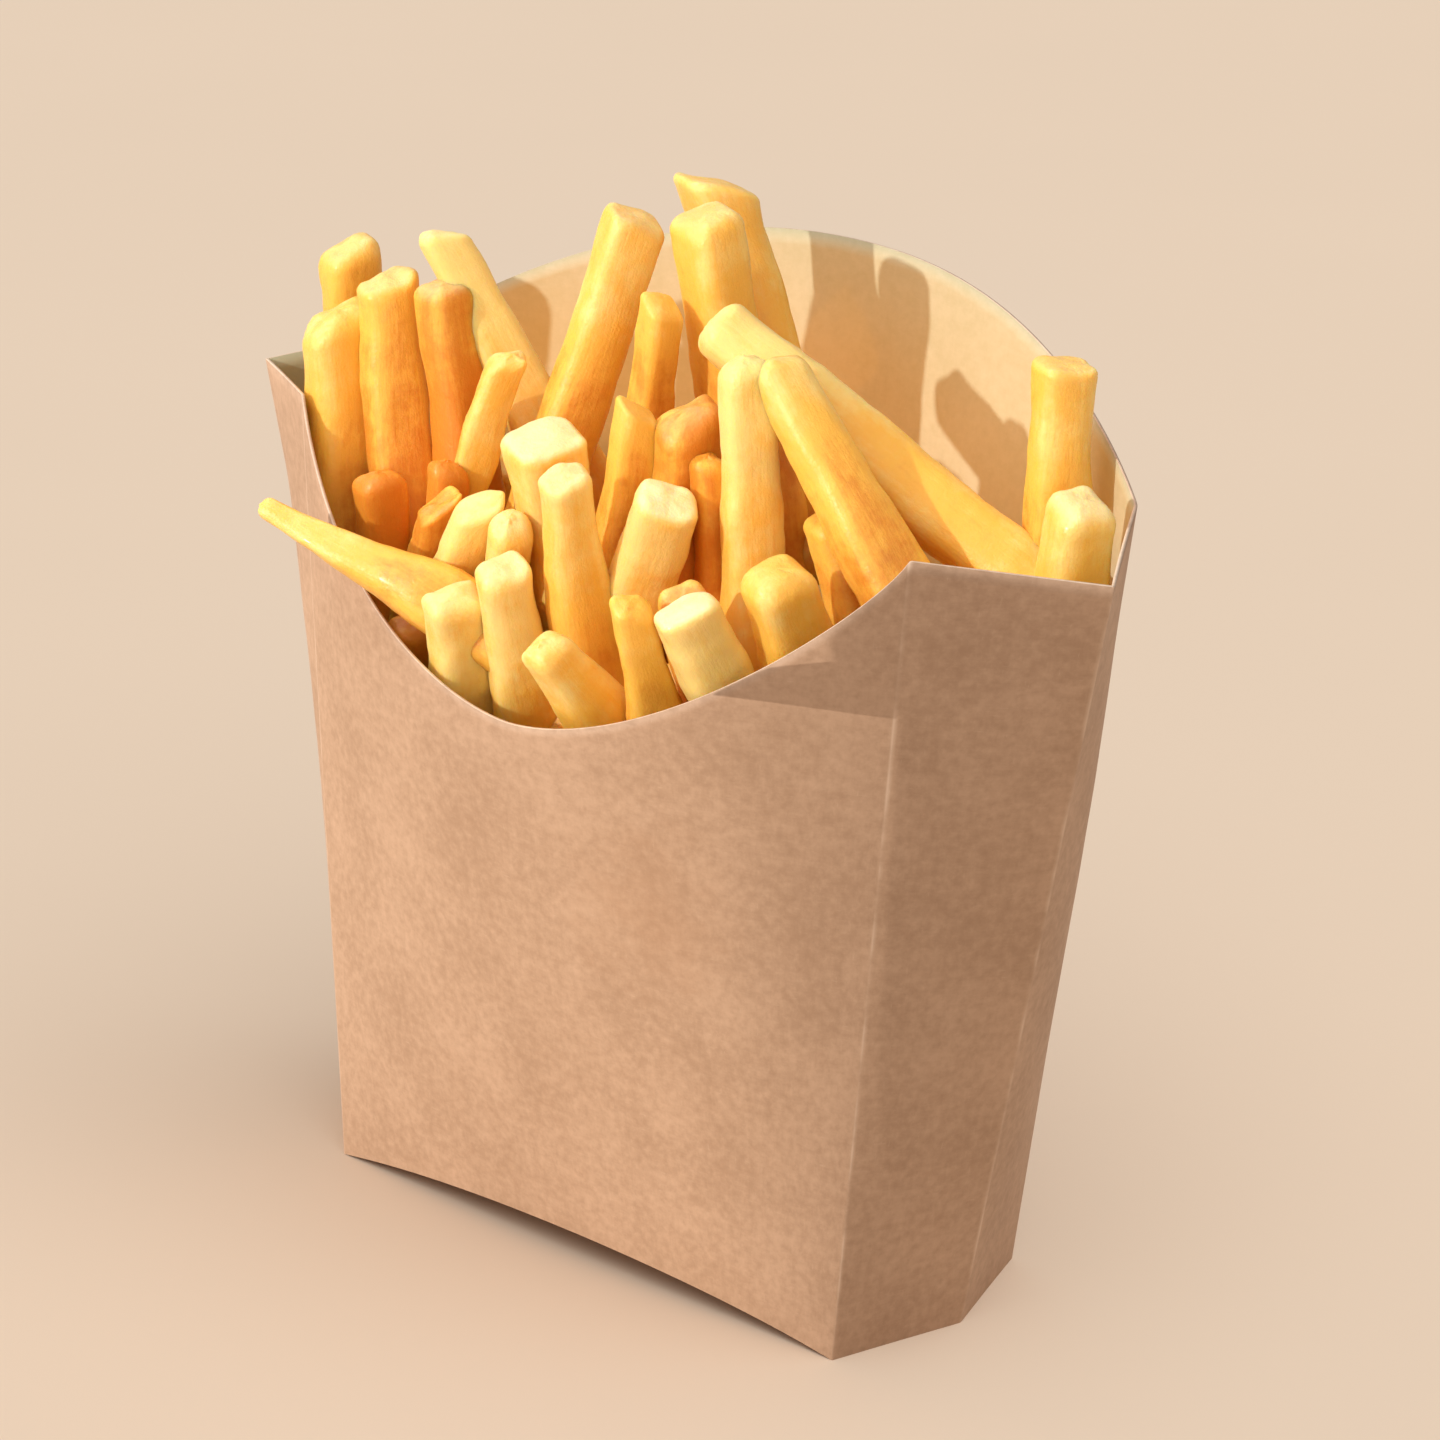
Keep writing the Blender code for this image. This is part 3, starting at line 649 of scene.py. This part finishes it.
def addFry(build, fry, seed):
    # a cut fry as rings from its foot to its soft end, closed by a puffed cap
    length = (Vector(fry.tip) - Vector(fry.foot)).length
    axes, foot = fryAxes(fry), Vector(fry.foot)
    around, plump = fryShape["around"], fryShape["plump"]
    most = fryShape["mostRound"] * min(fry.width, fry.depth) * plump * fry.narrow
    first = len(build["points"])
    turns = [math.tau * j / around for j in range(around)]
    shift = Vector((0, 0, seed * fryShape["apart"]))
    uneven, lumpStep, endStep = fryShape["endUneven"], readAt["lumpStep"], readAt["endStep"]

    def put(x, y, z, corner, cut):
        share = z / length
        offset = axes @ Vector((x, y, 0))
        drop = fry.slant[0] * offset.dot(photoRight) + fry.slant[1] * offset.dot(photoFront)
        height = z - drop * max(0, (share - fryShape["slantFrom"]) / (1 - fryShape["slantFrom"]))
        bitten = unevenness(Vector((x, y, seed * readAt["bite"])), fryShape["endLumps"])
        height += fry.ragged * bitten * smooth(length - fryShape["endReach"], length, z)
        spin = math.radians(wander(seed, z, "turn"))
        c, s = math.cos(spin), math.sin(spin)
        swayed = y + 4 * share * (1 - share) * fry.bow
        place = Vector((x * c - swayed * s + wander(seed + 0.3, z, "sway"),
                        x * s + swayed * c + wander(seed + 0.6, z, "sway"), height))
        build["points"].append(foot + axes @ place)
        build["own"].append(tuple(Vector((x, y, z)) + shift))
        build["corner"].append(corner)
        build["cut"].append(cut * fry.pale)
        # each fry darkens lower down: deeper frying and painted shade
        low, high = fryShape["deeperBelow"]
        build["tone"].append(fry.tone + fryShape["deeperBy"] * smooth(low, high, length - z))

    rings = []
    for z in fryStations(length, min(fry.rounding * (1 + uneven), most)):
        thick = plump * mix(1, fry.narrow, smooth(fryShape["narrowFrom"], 1, z / length))
        thick *= 1 + wander(seed + 0.9, z, "swell")
        (low, high), more = fryShape["wider"]
        thick *= 1 + more * smooth(low, high, length - z)
        own, level = readAt["square"]
        squarer = noise.noise(Vector((seed * own, level, z / fryShape["squareOver"])))
        square = mix(*fryShape["square"], 0.5 + squarer)
        ring = []
        for turn in turns:
            c, s = math.cos(turn), math.sin(turn)
            x = math.copysign(abs(c) ** square, c)
            y = math.copysign(abs(s) ** square, s)
            corner = (2 * abs(c * s)) ** 2
            varied = noise.noise(Vector((c * endStep, s * endStep, seed * readAt["end"])))
            soft = min(fry.rounding * (1 + uneven * fryShape["endVaries"] * varied), most)
            into = min(max(0, z - (length - soft)), soft)
            inset = soft - math.sqrt(max(soft * soft - into * into, 0))
            sunk = thick * (1 - fryShape["hollow"] * (1 - corner))
            lumpAt = Vector((c * lumpStep, s * lumpStep, z)) + shift
            lump = unevenness(lumpAt, fryShape["lumps"]) * 2 / fry.width
            ring.append(len(build["points"]))
            x *= (fry.width / 2 * sunk - inset) * (1 + lump)
            y *= (fry.depth / 2 * sunk - inset) * (1 + lump)
            put(x, y, z, corner, smooth(0.4, 1, into / soft))
        rings.append(ring)
    edge = [(Vector(build["own"][i]) - shift) for i in rings[-1]]
    for part in fryShape["capRings"]:
        ring = []
        for point in edge:
            ring.append(len(build["points"]))
            put(point.x * part, point.y * part, length + fryShape["capPuff"] * (1 - part * part), 0, 1)
        rings.append(ring)
    put(0, 0, length + fryShape["capPuff"], 0, 1)
    top = len(build["points"]) - 1
    for low, high in zip(rings, rings[1:]):
        for j in range(around):
            k = (j + 1) % around
            build["faces"].append((low[j], low[k], high[k], high[j]))
    for j in range(around):
        build["faces"].append((rings[-1][j], rings[-1][(j + 1) % around], top))
    build["faces"].append(tuple(reversed(range(first, first + around))))


def makeFries(name, fries, material, offset):
    build = {key: [] for key in ("points", "faces", "own", "corner", "cut", "tone")}
    for i, fry in enumerate(fries):
        addFry(build, fry, offset + i)
    values = {key: build[key] for key in ("corner", "cut", "tone")}
    piece = makePiece(name, build["points"], build["faces"], (material,), values, {"own": build["own"]})
    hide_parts("fries")
    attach(piece, "root")
    print(name, "has", len(fries), "fries")


# Fries between and behind, by the same seeded draw as the solid heap

filling = {
    "seed": 11, "tries": 5000, "most": 36,
    "across": (-76, 76), "back": (-12, 38), "foot": (70, 84),
    "shortest": 20, "lean": 0.9, "spacing": 7.2,
    "ceiling": 106, "perY": 0.6, "perX": -0.06, "ceilingMost": 115, "ceilingSpread": 8,
    "width": (7, 9), "flatter": 0.5, "slant": 0.25,
    "fromBoard": 1.0, "half": 0.6,
    "rounding": (1.2, 2.8), "narrow": (0.85, 1), "tone": (0.15, 0.6), "pale": (0, 0.7),
}
heap = {
    "fromBoard": 1.6, "floor": 2.2, "rings": (0.0, 14.0, 30.0, 44.0, 58.0),
    "front": 76, "side": 86, "back": 92, "crown": 95, "shoulder": 8, "dome": (0.9, 0.8),
    "slope": (-30, 30), "edgeIn": 0.4,
    "inward": (1, 0.8, 0.6, 0.4, 0.2),
    "steps": 24, "lump": 1.4, "lumpSize": 9, "tone": 0.7,
}


def wallOutline(z, gap, steps=10):
    # the inside of the carton at height z, drawn in by a gap from its outer face
    gusset = mix(board["gussetFoot"], board["gussetTop"], z / board["gussetTop"].z)
    inward = 1 - gap / board["frontFoot"].x
    places = [-1 + 2 * i / steps for i in range(steps + 1)]
    outline = []
    for s in places:
        point = frontPoint(s, z)
        outline.append(Vector((point.x * inward, point.y + gap, z)))
    outline.append(Vector((gusset.x - 2 * gap, gusset.y, z)))
    for s in reversed(places):
        point = backPoint(s, z / backHeight(s))
        outline.append(Vector((point.x * inward, point.y - gap, z)))
    outline.append(Vector((-gusset.x + 2 * gap, gusset.y, z)))
    return outline


def crossesBoard(fry, room):
    for share in (0, 0.25, 0.5, 0.75, 1):
        centre = mix(Vector(fry.foot), Vector(fry.tip), share)
        outline = wallOutline(min(centre.z, board["frontTop"].z), room + fry.width * filling["half"])
        for a, b in zip(outline, outline[1:] + outline[:1]):
            if (b.x - a.x) * (centre.y - a.y) - (b.y - a.y) * (centre.x - a.x) < 0:
                return True
    return False


def spacing(fry, other):
    shares = (0.4, 0.55, 0.7, 0.85, 1)
    mine, theirs = ([mix(Vector(f.foot), Vector(f.tip), q) for q in shares] for f in (fry, other))
    return min((a - b).length for a in mine for b in theirs)


def drawFilling():
    draw = random.Random(filling["seed"])
    finish = random.Random(filling["seed"] + 1)
    kept = []
    for _ in range(filling["tries"]):
        x, y = draw.uniform(*filling["across"]), draw.uniform(*filling["back"])
        ceiling = filling["ceiling"] + filling["perY"] * y + filling["perX"] * x
        z = min(ceiling, filling["ceilingMost"]) - draw.uniform(0, filling["ceilingSpread"])
        heading, lean = draw.uniform(0, math.tau), filling["lean"] * math.sqrt(draw.random())
        reach = Vector((math.cos(heading) * math.tan(lean), math.sin(heading) * math.tan(lean), 1))
        tip = Vector((x, y, z))
        drop = z - draw.uniform(*filling["foot"])
        width = draw.uniform(*filling["width"])
        slant = (draw.uniform(-filling["slant"], filling["slant"]), draw.uniform(0, filling["slant"]))
        twist = draw.uniform(-90, 90)
        fry = Fry(tip, tip - reach * drop, width, width - filling["flatter"], twist, 0, slant, 0, 0, 0, 0)
        if drop < filling["shortest"] or len(kept) == filling["most"]:
            continue
        if crossesBoard(fry, filling["fromBoard"]):
            continue
        if all(spacing(fry, other) > filling["spacing"] for other in (*inSight, overTheRim, *kept)):
            kept.append(fry)
    finished = ("rounding", "narrow", "tone", "pale")
    return [fry._replace(**{key: finish.uniform(*filling[key]) for key in finished}) for fry in kept]


# Short fries that lie in the top of the heap and hide it wherever the others leave a gap

bed = {
    "seed": 5, "tries": 900, "most": 90,
    "across": (-76, 76), "back": (-34, 34),
    "length": (26, 48), "tilt": 0.35, "above": (-1, 5), "width": (6.5, 8.5), "fromBoard": 1.6,
    "spacing": 5.5, "flatter": 0.4,
    "bow": (-0.8, 0.8), "slantRight": (-0.2, 0.2), "slantFront": (0, 0.3),
    "rounding": (1.4, 2.6), "narrow": (0.85, 1), "tone": (0.45, 0.9), "pale": (0, 0.4),
}


def heapTop(point):
    side = min(abs(point.x) / board["frontTop"].x, 1) ** 3
    depth = smooth(*heap["slope"], point.y)
    middle = mix(heap["front"], heap["back"], depth)
    return mix(middle, heap["side"], side)


def drawBed():
    draw = random.Random(bed["seed"])
    kept = []
    for _ in range(bed["tries"]):
        centre = Vector((draw.uniform(*bed["across"]), draw.uniform(*bed["back"]), 0))
        centre.z = heapTop(centre) + draw.uniform(*bed["above"])
        heading, tilt = draw.uniform(0, math.tau), draw.uniform(-bed["tilt"], bed["tilt"])
        half = draw.uniform(*bed["length"]) / 2
        flat = math.cos(tilt)
        way = Vector((math.cos(heading) * flat, math.sin(heading) * flat, math.sin(tilt)))
        width = draw.uniform(*bed["width"])
        twist, bow = draw.uniform(-90, 90), draw.uniform(*bed["bow"])
        slant = (draw.uniform(*bed["slantRight"]), draw.uniform(*bed["slantFront"]))
        ending = [draw.uniform(*bed[key]) for key in ("rounding", "narrow", "tone", "pale")]
        fry = Fry(centre + way * half, centre - way * half, width, width - bed["flatter"], twist, bow, slant,
                  *ending)
        if len(kept) == bed["most"] or crossesBoard(fry, bed["fromBoard"]):
            continue
        if all(spacing(fry, other) > bed["spacing"] for other in kept):
            kept.append(fry)
    return kept


makeFries("friesInSight", inSight, goldenFry, 0)
makeFries("fryOverTheRim", [overTheRim], goldenFry, 100)
makeFries("friesBetween", drawFilling(), goldenFry, 200)
makeFries("friesInTheHeap", drawBed(), shadedHeapFry, 300)


def makeHeapCore():
    # a lumpy core that follows the walls inside and closes every gap low down
    rings = []
    for z in heap["rings"]:
        ring = wallOutline(z, heap["fromBoard"], heap["steps"])
        foot = 1 - z / heap["rings"][-1]
        for point in ring:
            point.z += heap["floor"] + baseHeight(min(abs(point.x) / board["frontFoot"].x, 1)) * foot
        rings.append(ring)
    edge = wallOutline(heap["front"] - heap["shoulder"], heap["fromBoard"] + heap["edgeIn"], heap["steps"])
    rings.append([Vector((p.x, p.y, heapTop(p) - heap["shoulder"])) for p in edge])
    wide, deep = heap["dome"]
    for inward in heap["inward"]:
        ring = []
        for p in edge:
            place = Vector((p.x * wide * inward, p.y * deep * inward, 0))
            place.z = mix(heap["crown"], heapTop(p), inward)
            place.z += heap["lump"] * noise.noise(place / heap["lumpSize"])
            ring.append(place)
        rings.append(ring)
    points = [p for ring in rings for p in ring]
    count = len(rings[0])
    faces = []
    for r in range(len(rings) - 1):
        for i in range(count):
            k = (i + 1) % count
            faces.append((r * count + i, r * count + k, (r + 1) * count + k, (r + 1) * count + i))
    points += [Vector((0, 0, heap["crown"])), Vector((0, 0, heap["floor"] + board["baseArch"]))]
    last = (len(rings) - 1) * count
    for i in range(count):
        k = (i + 1) % count
        faces.append((last + i, last + k, len(points) - 2))
        faces.append((k, i, len(points) - 1))
    nothing = [0.0] * len(points)
    piece = makePiece("heapCore", points, faces, (shadedCoreFry,),
                      {"corner": nothing, "cut": nothing, "tone": [heap["tone"]] * len(points)},
                      {"own": [tuple(p) for p in points]})
    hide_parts("fries")
    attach(piece, "root")


makeHeapCore()
print("heap core")


# Floor, lights and camera

setting = {
    "floorColour": (0.86, 0.70, 0.54),
    "floorClouds": (0.985, 1.015),
    "floorSize": 14,
    "sky": (0.60, 0.56, 0.54), "skyStrength": 0.7,
    # each sun's heading and height in degrees, strength, softness in degrees and colour
    "keySun": (70, 21.5, 2.15, 1.6, (1, 0.965, 0.9)),
    "softFront": (32, 56, 1.72, 70, (1, 0.98, 0.95)),
    "floorWash": (165, 62, 1.83, 80, (1, 1, 1)),
    "friesFill": (118, 22, 1.6, 110, (1, 0.83, 0.55)),
    "glow": (1, 0.36, 0), "glowPower": 0.022, "glowSize": (0.12, 0.03),
    "glowAt": (0, 4, 128), "glowTowards": (0, 1, 0.3),
}
cameraView = {
    "aim": (9.46, 0, 84.69), "distance": 659.5,     # mm
    "azimuth": 40.81, "elevation": 20.59, "roll": 0.52,
    "lens": 109.28,
}


def makeFloor():
    half = setting["floorSize"] / 2 / mm
    corners = [Vector((x * half, y * half, 0)) for x, y in ((-1, -1), (1, -1), (1, 1), (-1, 1))]
    material, tree, shader = newMaterial("paleFloor")
    place = addNode(tree, "ShaderNodeNewGeometry", -700, 0).outputs["Position"]
    clouds = noiseNode(tree, place, 6, 2, -450, 0)
    low, high = (tuple(c * k for c in setting["floorColour"]) for k in setting["floorClouds"])
    tree.links.new(blendColour(tree, clouds, low, high, -150, 0), shader.inputs["Base Color"])
    fill(shader, Roughness=0.9, SpecularIORLevel=0.1)
    floor = makePiece("floor", corners, [(0, 1, 2, 3)], (material,))
    return floor


def addSun(name):
    # heading is the way the light travels, in degrees round from +X, and height its angle above the floor
    heading, height, strength, softness, colour = setting[name]
    lamp = bpy.data.lights.new(name, "SUN")
    lamp.energy = strength
    lamp.angle = math.radians(softness)
    lamp.color = colour
    light = bpy.data.objects.new(name, lamp)
    bpy.context.scene.collection.objects.link(light)
    a, h = math.radians(heading), math.radians(height)
    way = Vector((math.cos(a) * math.cos(h), math.sin(a) * math.cos(h), -math.sin(h)))
    light.rotation_euler = way.to_track_quat("-Z", "Y").to_euler()
    bpy.context.view_layer.update()
    return light


def choose(light, role, state, *pieces):
    # by role, the pieces that the light reaches or that stop it: INCLUDE is these alone, EXCLUDE all others
    chosen = bpy.data.collections.new(light.name + role.title())
    for piece in pieces:
        chosen.objects.link(piece)
    setattr(light.light_linking, role + "_collection", chosen)
    for entry in chosen.collection_objects:
        entry.light_linking.link_state = state


shading = {
    "sideCard": 60, "softCard": 1500, "wedgeCard": 9,       # mm from the carton to each card
    "below": (0, 0, -30), "beside": (20, 0, 0),             # how far they reach past it
    # places on the front panel are a share across it, and a height or a drop from its edge in mm
    "sidePanel": (0.86, 110), "sideEdge": (0.85, 0.5), "sideCorner": (0, 0, -0.5), "sideMouth": (12, 0, 2),
    "softPanel": (0.84, 98), "softFoot": 0.84, "softCorner": (0, 0, -16), "softMouth": (20, 0, -10),
    "wedgeEdge": ((0.6, 0.3), (0.73, 0.3), (0.86, 5)), "wedgePanel": (0.93, 103),
    "wedgeOnSide": 0.22,
    # places on the front crease, as shares of its height
    "low": 0.815, "middle": 0.86, "high": 0.875,
}


def addCard(key, name, corners):
    # the corners are those of its shadow, and it is slid towards the key light
    towardsLight = key.matrix_world.to_3x3() @ Vector((0, 0, 1))
    points = [corner + towardsLight * shading[name] for corner in corners]
    card = makePiece(name, points, [tuple(range(len(points)))], (newMaterial(name)[0],))
    card.visible_camera = False
    card.visible_diffuse = False
    card.visible_glossy = False
    card.visible_transmission = False
    return card


def underEdge(s, drop):
    return frontPoint(s, scoopHeight(s) - drop)


def addCards(key):
    front, side = board["frontTop"], board["gussetTop"]
    frontFoot, sideFoot = board["frontFoot"], board["gussetFoot"]
    below, beside = Vector(shading["below"]), Vector(shading["beside"])
    low, middle, high = (mix(frontFoot, front, shading[place]) for place in ("low", "middle", "high"))
    # the right-hand side, and the front above the wedge
    sideCard = addCard(key, "sideCard", [
        frontFoot + below, middle, frontPoint(*shading["sidePanel"]), underEdge(*shading["sideEdge"]),
        front + Vector(shading["sideCorner"]), side + Vector(shading["sideMouth"]),
        sideFoot + beside + below])
    # a wide soft edge that darkens the front towards the right-hand crease
    softCard = addCard(key, "softCard", [
        frontPoint(shading["softFoot"], 0) + below * 2, frontPoint(*shading["softPanel"]),
        front + Vector(shading["softCorner"]), side + Vector(shading["softMouth"]),
        sideFoot + beside * 2 + below * 2])
    # the dark wedge that runs from the rim to the side
    onSide = mix(middle, mix(sideFoot, side, shading["middle"]), shading["wedgeOnSide"])
    wedgeCard = addCard(key, "wedgeCard", [
        *(underEdge(*place) for place in shading["wedgeEdge"]), high, onSide, low,
        frontPoint(*shading["wedgePanel"])])
    return sideCard, softCard, wedgeCard


def addGlow(carton):
    # the warm light that the fries throw back on the inside of the board
    lamp = bpy.data.lights.new("friesGlow", "AREA")
    lamp.shape = "RECTANGLE"
    lamp.size, lamp.size_y = setting["glowSize"]
    lamp.energy = setting["glowPower"]
    lamp.color = setting["glow"]
    light = bpy.data.objects.new("friesGlow", lamp)
    bpy.context.scene.collection.objects.link(light)
    light.location = Vector(setting["glowAt"]) * mm
    light.rotation_euler = Vector(setting["glowTowards"]).to_track_quat("-Z", "Y").to_euler()
    choose(light, "receiver", "INCLUDE", carton)
    choose(light, "blocker", "INCLUDE", carton)


def addCamera():
    a, e, r = (math.radians(cameraView[key]) for key in ("azimuth", "elevation", "roll"))
    back = Vector((math.sin(a) * math.cos(e), -math.cos(a) * math.cos(e), math.sin(e)))
    right = Vector((math.cos(a), math.sin(a), 0))
    up = right.cross(-back)
    rolled = Matrix((right * math.cos(r) + up * math.sin(r), up * math.cos(r) - right * math.sin(r), back))
    lens = bpy.data.cameras.new("photoView")
    lens.lens = cameraView["lens"]
    lens.sensor_width = 36
    lens.clip_end = 40
    camera = bpy.data.objects.new("photoView", lens)
    place = (Vector(cameraView["aim"]) + back * cameraView["distance"]) * mm
    camera.matrix_world = Matrix.Translation(place) @ rolled.transposed().to_4x4()
    bpy.context.scene.collection.objects.link(camera)
    bpy.context.scene.camera = camera


def addLights(floor, carton):
    world = bpy.data.worlds.new("softSky")
    world.use_nodes = True
    backdrop = world.node_tree.nodes["Background"]
    backdrop.inputs["Color"].default_value = (*setting["sky"], 1)
    backdrop.inputs["Strength"].default_value = setting["skyStrength"]
    bpy.context.scene.world = world
    key = addSun("keySun")
    choose(key, "receiver", "EXCLUDE", floor)
    sideCard, softCard, wedgeCard = addCards(key)
    soft = addSun("softFront")
    choose(soft, "receiver", "EXCLUDE", floor)
    choose(soft, "blocker", "EXCLUDE", sideCard, softCard)
    wash = addSun("floorWash")
    choose(wash, "receiver", "INCLUDE", floor)
    choose(wash, "blocker", "EXCLUDE", sideCard, softCard, wedgeCard)
    friesFill = addSun("friesFill")
    choose(friesFill, "receiver", "EXCLUDE", floor, carton)
    choose(friesFill, "blocker", "EXCLUDE", sideCard, softCard, wedgeCard)


addLights(makeFloor(), carton)
addGlow(carton)
addCamera()
bpy.context.scene.view_settings.view_transform = "Standard"
print("floor, lights and camera")
